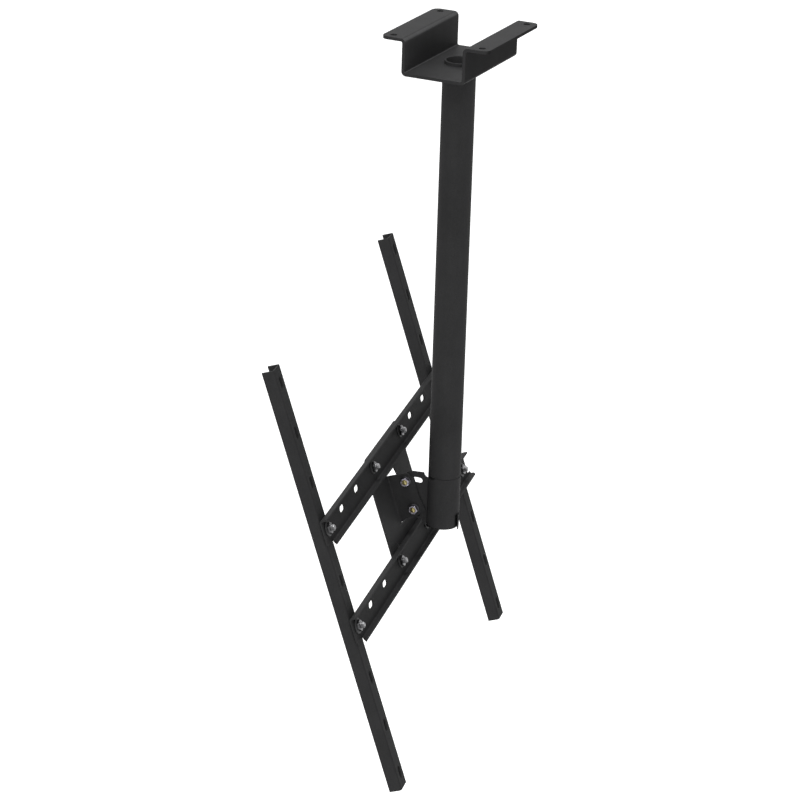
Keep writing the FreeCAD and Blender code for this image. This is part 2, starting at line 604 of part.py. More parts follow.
# ---------------------------------------------------------------- uprights
# Channels with their web against the rails and their lips towards the screen.
for label, side in (("near_upright", -1), ("far_upright", 1)):
    b = body(label, in_frame(side * D["upright_pitch"].value / 2,
                             D["upright_shift"].value, 0.0))
    hh, dd, tu = D["upright_width"] / 2, D["upright_depth"], D["upright_sheet"]
    s = sketch(b, "XZ_Plane", "upright_section")
    outline(s, [(-hh, 0.0), (-hh, -dd), (tu - hh, -dd), (tu - hh, -tu), (hh - tu, -tu),
                (hh - tu, -dd), (hh, -dd), (hh, 0.0)])
    p = pad(b, s, D["upright_length"], "upright_run", centred=True)
    hv, dv, tv = hh.value, dd.value, tu.value
    names = edges_at(p.Shape, [(hv, 0, 0), (-hv, 0, 0)], AXIS_Y)
    f = fillet(b, p, names, D["upright_bend"] + tu, "upright_outer_bends", 2)
    names = edges_at(f.Shape, [(hv - tv, 0, -tv), (tv - hv, 0, -tv)], AXIS_Y)
    f = fillet(b, f, names, D["upright_bend"], "upright_inner_bends", 2)
    s = sketch(b, "XY_Plane", "screen_slot")
    reach = (D["slot_length"] - D["slot_width"]) / 2
    start = -(D["slot_pitch"] * 4.0)
    slot(s, 0.0, start - reach, 0.0, start + reach, D["slot_width"] / 2)
    k = pocket(b, s, D["upright_sheet"] * 4.0, "screen_slot_cut")
    # the rail bolts pass through the fourth and the sixth of these slots
    repeat(b, k, "Y_Axis", D["slot_pitch"] * 8.0, 9, "screen_slots")
    KEPT.append(b)


# ---------------------------------------------------------------- fasteners
def bound(item, **sizes):
    for name, size in sizes.items():
        size = Dim.of(size)
        setattr(item, name, size.value)
        item.setExpression(name, size.text)
    return item


def ring(tag, r_out, r_in, height, place):
    disc = bound(doc.addObject("Part::Cylinder", tag + "_disc"), Radius=r_out, Height=height)
    hole = bound(doc.addObject("Part::Cylinder", tag + "_hole"), Radius=r_in,
                 Height=Dim.of(height) + 2.0)
    hole.Placement = Placement(Vector(0, 0, -1), Rotation())
    item = doc.addObject("Part::Cut", tag)
    item.Base, item.Tool = disc, hole
    item.Placement = place
    return item


def nut(tag, place, kind="nut", bore="bolt"):
    """Plain hexagon nut, chamfered on both faces."""
    flats, height = D[kind + "_flats"], D[kind + "_height"]
    corner = flats / math.sqrt(3.0)
    six = doc.addObject("Part::Prism", tag + "_six")
    six.Polygon = 6
    bound(six, Circumradius=corner, Height=height)
    low = bound(doc.addObject("Part::Cone", tag + "_low"), Radius1=corner - 0.65,
                Radius2=corner + 3.15, Height=2.0)
    high = bound(doc.addObject("Part::Cone", tag + "_high"), Radius1=corner + 3.15,
                 Radius2=corner - 0.65, Height=2.0)
    high.Placement = Placement(Vector(0, 0, height.value - 2.0), Rotation())
    one = doc.addObject("Part::Common", tag + "_under")
    wide = bound(doc.addObject("Part::Cylinder", tag + "_wide"), Radius=corner + 3.0,
                 Height=height - 2.0)
    wide.Placement = Placement(Vector(0, 0, 2.0), Rotation())
    lower = doc.addObject("Part::Fuse", tag + "_lower")
    lower.Base, lower.Tool = low, wide
    one.Base, one.Tool = six, lower
    wide2 = bound(doc.addObject("Part::Cylinder", tag + "_wide2"), Radius=corner + 3.0,
                  Height=height - 2.0)
    upper = doc.addObject("Part::Fuse", tag + "_upper")
    upper.Base, upper.Tool = high, wide2
    two = doc.addObject("Part::Common", tag + "_hexagon")
    two.Base, two.Tool = one, upper
    hole = bound(doc.addObject("Part::Cylinder", tag + "_hole"), Radius=D[bore + "_radius"],
                 Height=height + 6.0)
    hole.Placement = Placement(Vector(0, 0, -2), Rotation())
    item = doc.addObject("Part::Cut", tag)
    item.Base, item.Tool = two, hole
    item.Placement = place
    return item


def bolt(tag, shank, place, kind="bolt", head_kind="head", key_size=2.31):
    """Button-headed bolt, its head below z = 0 and its rounded tip at z = shank."""
    size = D[kind + "_radius"]
    wide, tall = D[head_kind + "_radius"], D[head_kind + "_height"]
    rod = bound(doc.addObject("Part::Cylinder", tag + "_rod"), Radius=size,
                Height=shank - 0.9)
    tip = bound(doc.addObject("Part::Cone", tag + "_tip"), Radius1=size,
                Radius2=size - 0.9, Height=0.9)
    tip.Placement = Placement(Vector(0, 0, shank - 0.9), Rotation())
    head = bound(doc.addObject("Part::Cone", tag + "_head"), Radius1=wide - 2.2,
                 Radius2=wide, Height=tall - 1.0)
    head.Placement = Placement(Vector(0, 0, -tall.value), Rotation())
    rim = bound(doc.addObject("Part::Cylinder", tag + "_rim"), Radius=wide, Height=1.0)
    rim.Placement = Placement(Vector(0, 0, -1.0), Rotation())
    body_ = doc.addObject("Part::MultiFuse", tag + "_form")
    body_.Shapes = [rod, tip, head, rim]
    body_.Refine = False
    key = doc.addObject("Part::Prism", tag + "_key")
    key.Polygon = 6
    bound(key, Circumradius=key_size, Height=1.8)
    key.Placement = Placement(Vector(0, 0, -tall.value - 0.01), Rotation())
    item = doc.addObject("Part::Cut", tag)
    item.Base, item.Tool = body_, key
    item.Placement = place
    return item


def group(label, items, place):
    item = doc.addObject("Part::Compound", label)
    item.Links = items
    item.Label = label
    item.Placement = place
    return item


def at(x, y, z):
    return Placement(Vector(x, y, z), Rotation())


# rail to upright, and rail to plate: heads behind the sheet, nuts on the tube side
up = D["upright_pitch"].value / 2
rp = D["rail_pitch"].value / 2
mid_x = D["plate_middle"].value
ip = D["inner_pitch"].value / 2
rs = D["rail_sheet"].value
wt = D["washer_thickness"].value
br = D["bolt_rise"].value
OUTER = [(-up, br + rp), (-up, br - rp), (up, br + rp), (up, br - rp)]
INNER = [(mid_x - ip, br + rp), (mid_x - ip, br - rp), (mid_x + ip, br + rp),
         (mid_x + ip, br - rp)]
us, ps = D["upright_sheet"].value, D["plate_sheet"].value
KEPT.append(group("upright_bolts", [
    bolt("upright_bolt_%d" % n, 11.0, at(x, y, -us)) for n, (x, y) in enumerate(OUTER)], FRAME))
KEPT.append(group("upright_washers", [
    ring("upright_washer_%d" % n, D["washer_radius"], D["washer_bore"],
         D["washer_thickness"], at(x, y, rs)) for n, (x, y) in enumerate(OUTER)], FRAME))
KEPT.append(group("upright_nuts", [
    nut("upright_nut_%d" % n, at(x, y, rs + wt)) for n, (x, y) in enumerate(OUTER)], FRAME))
KEPT.append(group("plate_bolts", [
    bolt("plate_bolt_%d" % n, 11.5, at(x, y, -ps)) for n, (x, y) in enumerate(INNER)], FRAME))
KEPT.append(group("plate_washers", [
    ring("plate_washer_%d" % n, D["plate_washer_radius"], D["washer_bore"],
         D["washer_thickness"], at(x, y, rs)) for n, (x, y) in enumerate(INNER)], FRAME))
KEPT.append(group("plate_nuts", [
    nut("plate_nut_%d" % n, at(x, y, rs + wt)) for n, (x, y) in enumerate(INNER)], FRAME))

# pivot and lock: both run along the rails, nuts on the near side. Their axis is
# local z turned to point towards the near end of the rails.
LOOK = Rotation(Vector(0, 1, 0), -90)      # local z becomes -x


def along(place, x, y, z):
    return place.multiply(Placement(Vector(x, y, z), LOOK))


ear_far = D["ear_near"].value + D["knuckle_sheet"].value
# pivot: rides on the ear
px_, pz_ = D["pivot_out"].value, D["pivot_height"].value
near_face = D["cheek_near"].value
ear_face = D["ear_near"].value
disc, bore = D["pin_washer_radius"], D["pin_washer_bore"]
KEPT.append(group("pivot_bolt", [
    bolt("pivot_bolt_piece", 10.9, along(Placement(), ear_far, px_, pz_),
         "pin", "pin_head", 1.73)], SWIVEL))
KEPT.append(group("pivot_washers", [
    ring("pivot_spacer", disc, bore, 0.4, along(Placement(), ear_face + 0.0, px_, pz_)),
    ring("pivot_washer", disc, bore, 0.9,
         along(Placement(), near_face - 0.1, px_, pz_))], SWIVEL))
KEPT.append(group("pivot_nut", [
    nut("pivot_nut_piece", along(Placement(), near_face - 1.0, px_, pz_),
        "pin_nut", "pin")], SWIVEL))
# lock: rides on the cheek and slides in the ear's slot
ly, lz = lock_y.value, cheek_z.value
KEPT.append(group("lock_bolt", [
    bolt("lock_bolt_piece", 12.1, along(Placement(), ear_far + 1.2, ly, lz),
         "pin", "pin_head", 1.73)], FRAME))
KEPT.append(group("lock_washers", [
    ring("lock_washer_far", disc, bore, 1.0, along(Placement(), ear_far + 1.2, ly, lz)),
    ring("lock_washer", disc, bore, 1.0, along(Placement(), near_face, ly, lz))], FRAME))
KEPT.append(group("lock_nut", [
    nut("lock_nut_piece", along(Placement(), near_face - 1.0, ly, lz),
        "pin_nut", "pin")], FRAME))

doc.recompute()

# ---------------------------------------------------------------- check and write
for item in doc.Objects:
    if any(word in item.State for word in ("Invalid", "Error")):
        raise RuntimeError("%s: %s" % (item.Name, item.State))
for item in KEPT:
    shape = item.Shape
    if shape.isNull() or not shape.isValid():
        raise RuntimeError("shape of " + item.Label)
    if any(solid.Volume <= 0 for solid in shape.Solids):
        raise RuntimeError("volume of " + item.Label)
    print("%-18s solids %d  volume %9.1f  box %s" % (
        item.Label, len(shape.Solids), shape.Volume,
        " ".join("%.1f" % v for v in (shape.BoundBox.XMin, shape.BoundBox.YMin,
                                      shape.BoundBox.ZMin, shape.BoundBox.XMax,
                                      shape.BoundBox.YMax, shape.BoundBox.ZMax))))
for item in KEPT:
    item.Shape.exportStep(os.path.join("parts", item.Label + ".step"))
print("wrote", len(KEPT))
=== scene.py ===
import json
import math

import bmesh
import bpy
from mathutils import Matrix, Vector


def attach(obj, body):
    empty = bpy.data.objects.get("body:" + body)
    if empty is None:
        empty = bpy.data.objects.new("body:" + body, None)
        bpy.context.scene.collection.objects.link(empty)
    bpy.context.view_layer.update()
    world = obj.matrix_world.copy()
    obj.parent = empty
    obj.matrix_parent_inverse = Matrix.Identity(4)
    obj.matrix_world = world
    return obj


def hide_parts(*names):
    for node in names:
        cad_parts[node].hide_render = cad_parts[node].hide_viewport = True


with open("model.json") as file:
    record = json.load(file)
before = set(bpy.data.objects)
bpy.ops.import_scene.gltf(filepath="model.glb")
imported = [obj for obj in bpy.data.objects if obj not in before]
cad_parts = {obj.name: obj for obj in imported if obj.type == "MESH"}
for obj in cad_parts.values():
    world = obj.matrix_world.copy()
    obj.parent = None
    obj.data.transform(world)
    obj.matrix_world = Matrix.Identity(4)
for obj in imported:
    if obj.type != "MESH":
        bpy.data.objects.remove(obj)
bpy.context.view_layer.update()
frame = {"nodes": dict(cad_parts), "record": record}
nodes = frame["nodes"]
BODY_OF = {}
for body_name, members in frame["record"]["behaviour"]["bodies"].items():
    for member in members:
        BODY_OF[member] = body_name
MM = 0.001

# ------------------------------------------------------------------ camera
scene = bpy.context.scene
cam_data = bpy.data.cameras.new("camera")
cam = bpy.data.objects.new("camera", cam_data)
scene.collection.objects.link(cam)
scene.camera = cam
cam_data.sensor_fit = "HORIZONTAL"
cam_data.sensor_width = 36.0
cam_data.lens = 149.68
cam_data.clip_start = 0.05
cam_data.clip_end = 60.0
right = Vector((0.89871951, 0.43754885, 0.02922763))
up = Vector((-0.18465211, 0.31713491, 0.93023064))
ahead = Vector((-0.39775224, 0.84141337, -0.36580965))
ahead = (ahead - right * (0.58 / 3326.0) + up * (0.72 / 3326.0)).normalized()
right = (right - ahead * right.dot(ahead)).normalized()
up = right.cross(ahead)
cam.matrix_world = Matrix((
    (right.x, up.x, -ahead.x, 1.24414502),
    (right.y, up.y, -ahead.y, -2.73772561),
    (right.z, up.z, -ahead.z, 0.80889698),
    (0, 0, 0, 1)))

scene.view_settings.view_transform = "Standard"
scene.view_settings.look = "None"
scene.view_settings.exposure = 0.0
scene.view_settings.gamma = 1.0

# ------------------------------------------------------------------ frames of the pieces
turn = math.radians(90.0 + 10.98)
lean = math.radians(18.03)
RAIL = Vector((math.cos(turn), math.sin(turn), 0))
AWAY = Vector((math.sin(turn), -math.cos(turn), 0))
UP = Vector((0, 0, 1))
RISE = UP * math.cos(lean) - AWAY * math.sin(lean)
FACE = AWAY * math.cos(lean) + UP * math.sin(lean)


def axes(a, b, c, base):
    return Matrix(((a.x, b.x, c.x, base.x), (a.y, b.y, c.y, base.y),
                   (a.z, b.z, c.z, base.z), (0, 0, 0, 1)))


SWIVEL = axes(RAIL, AWAY * -1, UP, Vector((0, 0, 0)))
FRAME = axes(RAIL, RISE, FACE, AWAY * (-47.607 * MM) + UP * (-481.10 * MM))


def in_frame(x, y, z):
    return FRAME @ Matrix.Translation(Vector((x, y, z)) * MM)


def along(place, x, y, z):
    """Local z turned to point towards the near end of the rails."""
    return (place @ Matrix.Translation(Vector((x, y, z)) * MM)
            @ Matrix.Rotation(math.radians(-90.0), 4, "Y"))


# ------------------------------------------------------------------ materials
def material(name):
    m = bpy.data.materials.new(name)
    m.use_nodes = True
    m.node_tree.nodes.clear()
    out = m.node_tree.nodes.new("ShaderNodeOutputMaterial")
    b = m.node_tree.nodes.new("ShaderNodeBsdfPrincipled")
    m.node_tree.links.new(b.outputs[0], out.inputs[0])
    return m, m.node_tree, b


def add(tree, kind, **values):
    n = tree.nodes.new(kind)
    for key, value in values.items():
        if key in n.inputs.keys():
            n.inputs[key].default_value = value
        else:
            setattr(n, key, value)
    return n


def shifted(t, seed):
    co = add(t, "ShaderNodeTexCoord")
    shift = add(t, "ShaderNodeMapping")
    shift.inputs["Location"].default_value = (seed * 1.7, seed * 0.9 + 0.3, seed * 1.3)
    t.links.new(co.outputs["Object"], shift.inputs["Vector"])
    return shift.outputs[0]


def spread(t, source, low, high, a, b):
    n = add(t, "ShaderNodeMapRange")
    n.inputs["From Min"].default_value = low
    n.inputs["From Max"].default_value = high
    n.inputs["To Min"].default_value = a
    n.inputs["To Max"].default_value = b
    t.links.new(source, n.inputs["Value"])
    return n.outputs[0]


def times(t, a, b):
    n = add(t, "ShaderNodeMath", operation="MULTIPLY")
    t.links.new(a, n.inputs[0])
    if isinstance(b, float):
        n.inputs[1].default_value = b
    else:
        t.links.new(b, n.inputs[1])
    return n.outputs[0]


def powder_coat(name, tone, rough, seed, gloss_level=0.025, grain_size=2400.0, painted_shade_and_light=(),
                painted_light_top=None):
    """Black powder coat: fine orange peel, faint cloudy tone, a tone that is darker in the hollows
    of the peel, and a slightly uneven sheen. Each painted shade-and-light entry darkens or lightens
    the colour, as painted shade or painted light, on the faces that look one way: direction,
    factor, the side of x it is kept to or 0, and how near the direction a face has to be."""
    m, t, b = material(name)
    L = t.links.new
    where = shifted(t, seed)
    cloud = add(t, "ShaderNodeTexNoise", Scale=31.0, Detail=5.0, Roughness=0.6)
    L(where, cloud.inputs["Vector"])
    peel = add(t, "ShaderNodeTexNoise", Scale=820.0, Detail=3.0, Roughness=0.5)
    L(where, peel.inputs["Vector"])
    grain = add(t, "ShaderNodeTexNoise", Scale=grain_size, Detail=2.0, Roughness=0.5)
    L(where, grain.inputs["Vector"])
    streak_map = add(t, "ShaderNodeMapping")
    streak_map.inputs["Scale"].default_value = (90.0, 90.0, 9.0)
    L(where, streak_map.inputs["Vector"])
    streak = add(t, "ShaderNodeTexNoise", Scale=1.0, Detail=3.0, Roughness=0.6)
    L(streak_map.outputs[0], streak.inputs["Vector"])
    value = times(t, spread(t, cloud.outputs[0], 0.3, 0.7, 0.90, 1.10),
                  spread(t, grain.outputs[0], 0.35, 0.65, 0.88, 1.12))
    value = times(t, value, spread(t, peel.outputs[0], 0.3, 0.7, 0.94, 1.06))
    value = times(t, value, spread(t, streak.outputs[0], 0.3, 0.7, 0.96, 1.04))
    value = times(t, value, tone)
    # painted shade and light: each entry darkens or lightens the colour on the faces that look its
    # way
    for painted_shade_and_tone in painted_shade_and_light:
        turned = add(t, "ShaderNodeVectorMath", operation="DOT_PRODUCT")
        L(add(t, "ShaderNodeTexCoord").outputs["Normal"], turned.inputs[0])
        turned.inputs[1].default_value = painted_shade_and_tone[0]
        layer = spread(t, turned.outputs["Value"], painted_shade_and_tone[3], 1.0 - (1.0 - painted_shade_and_tone[3]) * 0.15,
                       0.0, painted_shade_and_tone[1] - 1.0)
        if painted_shade_and_tone[2]:
            place = add(t, "ShaderNodeSeparateXYZ")
            L(add(t, "ShaderNodeTexCoord").outputs["Object"], place.inputs[0])
            layer = times(t, layer, spread(t, place.outputs[0], -0.01 * painted_shade_and_tone[2],
                                           0.01 * painted_shade_and_tone[2], 0.0, 1.0))
        whole = add(t, "ShaderNodeMath", operation="ADD")
        L(layer, whole.inputs[0])
        whole.inputs[1].default_value = 1.0
        value = times(t, value, whole.outputs[0])
    if painted_light_top:
        # painted light: the colour is lighter on the part above this height, but not on its
        # upward-facing top rim
        place = add(t, "ShaderNodeSeparateXYZ")
        L(add(t, "ShaderNodeTexCoord").outputs["Object"], place.inputs[0])
        slope = add(t, "ShaderNodeSeparateXYZ")
        L(add(t, "ShaderNodeTexCoord").outputs["Normal"], slope.inputs[0])
        layer = times(t, spread(t, place.outputs[2], painted_light_top[0] - 0.006, painted_light_top[0], 0.0, painted_light_top[1] - 1.0),
                      spread(t, slope.outputs[2], 0.3, 0.7, 1.0, 0.0))
        whole = add(t, "ShaderNodeMath", operation="ADD")
        L(layer, whole.inputs[0])
        whole.inputs[1].default_value = 1.0
        value = times(t, value, whole.outputs[0])
    mix = add(t, "ShaderNodeCombineColor")
    L(value, mix.inputs[0])
    L(value, mix.inputs[1])
    L(times(t, value, 1.02), mix.inputs[2])
    L(mix.outputs[0], b.inputs["Base Color"])
    L(spread(t, cloud.outputs[0], 0.3, 0.7, rough - 0.05, rough + 0.06), b.inputs["Roughness"])
    height = add(t, "ShaderNodeMath", operation="MULTIPLY_ADD")
    L(peel.outputs[0], height.inputs[0])
    height.inputs[1].default_value = 1.0
    L(times(t, grain.outputs[0], 0.4), height.inputs[2])
    bump = add(t, "ShaderNodeBump", Strength=0.12)
    bump.inputs["Distance"].default_value = 0.00012
    L(height.outputs[0], bump.inputs["Height"])
    L(bump.outputs[0], b.inputs["Normal"])
    b.inputs["Specular IOR Level"].default_value = gloss_level
    b.inputs["IOR"].default_value = 1.5
    return m


def plated(name, colour, rough, seed, dull=0.75, painted_underside_shade=1.0):
    """Zinc or passivated plate: mottled crystals, fine tumbling scratches, a darker tone in
    patches, and painted shade that darkens the faces that look down."""
    m, t, b = material(name)
    L = t.links.new
    where = shifted(t, seed)
    tone = add(t, "ShaderNodeTexNoise", Scale=260.0, Detail=4.0, Roughness=0.6)
    L(where, tone.inputs["Vector"])
    cells = add(t, "ShaderNodeTexVoronoi", Scale=900.0)
    L(where, cells.inputs["Vector"])
    fine = add(t, "ShaderNodeTexNoise", Scale=4200.0, Detail=2.0, Roughness=0.6)
    L(where, fine.inputs["Vector"])
    lines_map = add(t, "ShaderNodeMapping")
    lines_map.inputs["Scale"].default_value = (2600.0, 2600.0, 300.0)
    lines_map.inputs["Rotation"].default_value = (0.3, 0.9, 0.2)
    L(where, lines_map.inputs["Vector"])
    lines = add(t, "ShaderNodeTexNoise", Scale=1.0, Detail=3.0, Roughness=0.7)
    L(lines_map.outputs[0], lines.inputs["Vector"])
    ramp = add(t, "ShaderNodeValToRGB")
    ramp.color_ramp.elements[0].position = 0.34
    ramp.color_ramp.elements[0].color = tuple(c * dull for c in colour) + (1,)
    ramp.color_ramp.elements[1].position = 0.66
    ramp.color_ramp.elements[1].color = tuple(min(1, c * 1.08) for c in colour) + (1,)
    L(tone.outputs[0], ramp.inputs[0])
    painted_shade_and_tone = add(t, "ShaderNodeMix", data_type="RGBA", blend_type="MULTIPLY")
    painted_shade_and_tone.inputs[0].default_value = 1.0
    L(ramp.outputs[0], painted_shade_and_tone.inputs[6])
    # painted shade: faces that look down get a darker base colour
    facing = add(t, "ShaderNodeSeparateXYZ")
    L(add(t, "ShaderNodeTexCoord").outputs["Normal"], facing.inputs[0])
    L(spread(t, facing.outputs[2], -0.25, 0.75, painted_underside_shade, 1.0), painted_shade_and_tone.inputs[7])
    L(painted_shade_and_tone.outputs[2], b.inputs["Base Color"])
    gloss = add(t, "ShaderNodeMath", operation="ADD")
    L(spread(t, tone.outputs[0], 0.3, 0.7, rough - 0.05, rough + 0.07), gloss.inputs[0])
    L(spread(t, cells.outputs[0], 0.0, 0.001, -0.02, 0.03), gloss.inputs[1])
    L(gloss.outputs[0], b.inputs["Roughness"])
    height = add(t, "ShaderNodeMath", operation="ADD")
    L(fine.outputs[0], height.inputs[0])
    L(lines.outputs[0], height.inputs[1])
    bump = add(t, "ShaderNodeBump", Strength=0.12)
    bump.inputs["Distance"].default_value = 0.00004
    L(height.outputs[0], bump.inputs["Height"])
    L(bump.outputs[0], b.inputs["Normal"])
    b.inputs["Metallic"].default_value = 1.0
    return m


COAT = 0.0285
FACING = (0.9335, 0.1811, 0.3095)
# painted shade and light by facing: the bracket's outer right web is darkened as painted shade
# under its flange, its inner left web is lightened as painted light, and its inner bend gets a
# painted highlight; the front faces of the uprights and rails are darkened as painted shade
PAINTED_SHADE_AND_LIGHT = {"ceiling_bracket": (((1.0, 0.0, 0.0), 0.42, 1, 0.55), ((1.0, 0.0, 0.0), 1.20, -1, 0.55),
                             ((0.7071, 0.0, 0.7071), 1.9, -1, 0.90)),
         "near_upright": ((FACING, 0.82, 0, 0.55),), "far_upright": ((FACING, 0.82, 0, 0.55),),
         "upper_rail": ((FACING, 0.92, 0, 0.55),), "lower_rail": ((FACING, 0.92, 0, 0.55),)}
TONES = {"ceiling_bracket": 1.0, "pole_tube": 1.0, "neck_tube": 0.9, "swivel_knuckle": 1.0,
         "tilt_plate": 1.0, "upper_rail": 1.0, "lower_rail": 1.0, "near_upright": 1.0,
         "far_upright": 1.0}
LOOKS = {}
for index, (name, obj) in enumerate(sorted(nodes.items())):
    seed = 0.37 * (index + 1)
    if name in ("pivot_bolt", "lock_bolt"):
        mat = plated("yellow_plate_" + name, (0.42, 0.36, 0.16), 0.24, seed)
    elif name in ("upright_washers", "plate_washers"):
        mat = powder_coat("black_plate_" + name, COAT * 1.6, 0.42, seed, 0.12, 3000.0)
    elif name in ("pivot_washers", "lock_washers"):
        mat = plated("zinc_" + name, (0.10, 0.10, 0.105), 0.34, seed)
    elif name in ("pivot_nut", "lock_nut"):
        mat = plated("zinc_" + name, (0.40, 0.38, 0.44), 0.26, seed)
    elif name in ("upright_bolts", "plate_bolts"):
        # the last number darkens the undersides as painted shade
        mat = plated("zinc_" + name, (0.46, 0.46, 0.47), 0.28, seed, 0.8, 0.10)
    elif "nut" in name:
        mat = plated("zinc_" + name, (0.30, 0.30, 0.31), 0.26, seed, 0.7, 0.12)
    else:
        # painted shade and light by face direction, and painted light on the upper part of the pole
        # tube
        mat = powder_coat("black_coat_" + name, COAT * TONES[name], 0.56, seed,
                          painted_shade_and_light=PAINTED_SHADE_AND_LIGHT.get(name, ()),
                          painted_light_top=(-0.0355, 1.7) if name == "pole_tube" else None)
    LOOKS[name] = mat
    if not obj.material_slots:
        obj.data.materials.append(mat)
    for s in obj.material_slots:
        s.material = mat

# ------------------------------------------------------------------ meshes
def finished(name, bm, node, angle=32.0):
    """A replacement for one CAD node: shaded smooth but for its hard edges."""
    bmesh.ops.recalc_face_normals(bm, faces=bm.faces[:])
    limit = math.radians(angle)
    for face in bm.faces:
        face.smooth = True
    for edge in bm.edges:
        edge.smooth = len(edge.link_faces) == 2 and edge.calc_face_angle(0.0) < limit
    mesh = bpy.data.meshes.new(name)
    bm.to_mesh(mesh)
    bm.free()
    obj = bpy.data.objects.new(name, mesh)
    scene.collection.objects.link(obj)
    mesh.materials.append(LOOKS[node])
    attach(obj, BODY_OF[node])
    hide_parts(node)
    return obj


def revolved(bm, rings, place, segs=64, loop=False):
    """Rings of (radius or radius of the angle, height or height of the angle), joined in order; the
    ends are closed by a fan, or joined to each other where loop is set."""
    made = []
    for radius, height in rings:
        row = []
        for i in range(segs):
            a = 2 * math.pi * i / segs
            r = radius(a) if callable(radius) else radius
            h = height(a) if callable(height) else height
            row.append(bm.verts.new(place @ (Vector((r * math.cos(a), r * math.sin(a), h)) * MM)))
        made.append(row)
    pairs = list(zip(made, made[1:]))
    if loop:
        pairs.append((made[-1], made[0]))
    for one, two in pairs:
        for i in range(segs):
            j = (i + 1) % segs
            bm.faces.new((one[i], one[j], two[j], two[i]))
    if not loop:
        bm.faces.new(list(reversed(made[0])))
        bm.faces.new(made[-1])


def hexagon(flats, start=0.0):
    def radius(a):
        w = (a - start) % (math.pi / 3)
        return flats / 2 / math.cos(w - math.pi / 6)
    return radius


def thread(size, depth, pitch, z):
    """Radius of a rolled thread at height z: rounded roots, slightly flat crests."""
    def radius(a):
        u = (z / pitch - a / (2 * math.pi)) % 1.0
        rise = 0.5 - 0.5 * math.cos(2 * math.pi * u)
        return size - depth * (1.0 - min(1.0, 1.25 * rise))
    return radius


def bolt_mesh(bm, place, size, pitch, shank, wide, tall, key, first, domed=False):
    """Button head with a hexagon socket below z = 0, threaded shank from z = first."""
    depth = pitch * 0.40
    bottom = 1.8
    rings = [(0.25, -tall + bottom - 0.35), (key * 0.75, -tall + bottom),
             (hexagon(key * 2), -tall + bottom), (hexagon(key * 2), -tall + 0.25),
             (lambda a: hexagon(key * 2)(a) + 0.18, -tall + 0.02),
             (key * 1.155 + 0.45, -tall + 0.0)]
    for k in range(9):
        w = math.radians(10 * k)
        rings.append((wide - (wide - key * 1.155 - 0.6) * math.cos(w) ** 1.6 * 1.0,
                      -0.95 - (tall - 1.0) * math.cos(math.radians(10 * k))
                      if k < 8 else -0.95))
    rings += [(wide, -0.75), (wide, -0.12), (wide - 0.12, 0.0), (size + 0.25, 0.0),
              (size - 0.02, 0.25), (size - 0.02, first - 0.2)]
    step = pitch / 8.0
    z = first
    last = shank - (1.1 if domed else 0.8)
    while z < last:
        rings.append((thread(size - 0.01, depth, pitch, z), z))
        z += step
    if domed:
        top = size - depth - 0.05
        for k in range(7):
            w = math.radians(15 * k)
            rings.append((max(0.05, top * math.cos(w)), last + (shank - last - 0.02) * math.sin(w)))
    else:
        rings += [(size - depth, last), (size - depth - 0.25, shank - 0.3),
                  (size - depth - 0.55, shank - 0.05), (size - depth - 0.9, shank - 0.02)]
    revolved(bm, rings, place, 48)


def nut_mesh(bm, place, flats, height, bore, start=0.0):
    corner = flats / math.sqrt(3.0)
    six = hexagon(flats, start)

    def cone(z):
        reach = corner - 0.62 + 1.9 * min(z, height - z)
        return lambda a: min(six(a) - 0.02, reach)
    levels = [0.0, 0.08, 0.16, 0.24, 0.32, height / 2, height - 0.32, height - 0.24,
              height - 0.16, height - 0.08, height]
    rings = [(cone(z), z) for z in levels]
    rings += [(bore + 0.5, height), (bore + 0.06, height - 0.4), (bore + 0.06, 0.4),
              (bore + 0.5, 0.0)]
    revolved(bm, rings, place, 72, loop=True)


def washer_mesh(bm, place, outer, inner, thick):
    e = min(0.18, thick * 0.3)
    rings = [(outer - e, 0.0), (outer - e * 0.3, e * 0.3), (outer, e), (outer, thick - e),
             (outer - e * 0.3, thick - e * 0.3), (outer - e, thick),
             (inner + e, thick), (inner, thick - e), (inner, e), (inner + e, 0.0)]
    revolved(bm, rings, place, 72, loop=True)


RISE_OF_BOLTS = 0.8
OUTER = [(sx * 200.0, sy * 50.0 + RISE_OF_BOLTS) for sx in (-1, 1) for sy in (1, -1)]
INNER = [(5.3 + sx * 50.0, sy * 50.0 + RISE_OF_BOLTS) for sx in (-1, 1) for sy in (1, -1)]
TURNS = [1.571, 1.42, 1.65, 1.50]


def many(name, node, build):
    bm = bmesh.new()
    build(bm)
    return finished(name, bm, node)


def bolts_of(spots, base, shank):
    def build(bm):
        for x, y in spots:
            bolt_mesh(bm, in_frame(x, y, base), 3.0, 1.0, shank, 5.2, 3.0, 2.0, 4.4)
    return build


def nuts_of(spots):
    def build(bm):
        for (x, y), start in zip(spots, TURNS):
            nut_mesh(bm, in_frame(x, y, 3.2), 10.0, 2.5, 3.0, start)
    return build


def washers_of(spots, radius):
    def build(bm):
        for x, y in spots:
            washer_mesh(bm, in_frame(x, y, 2.0), radius, 3.2, 1.2)
    return build


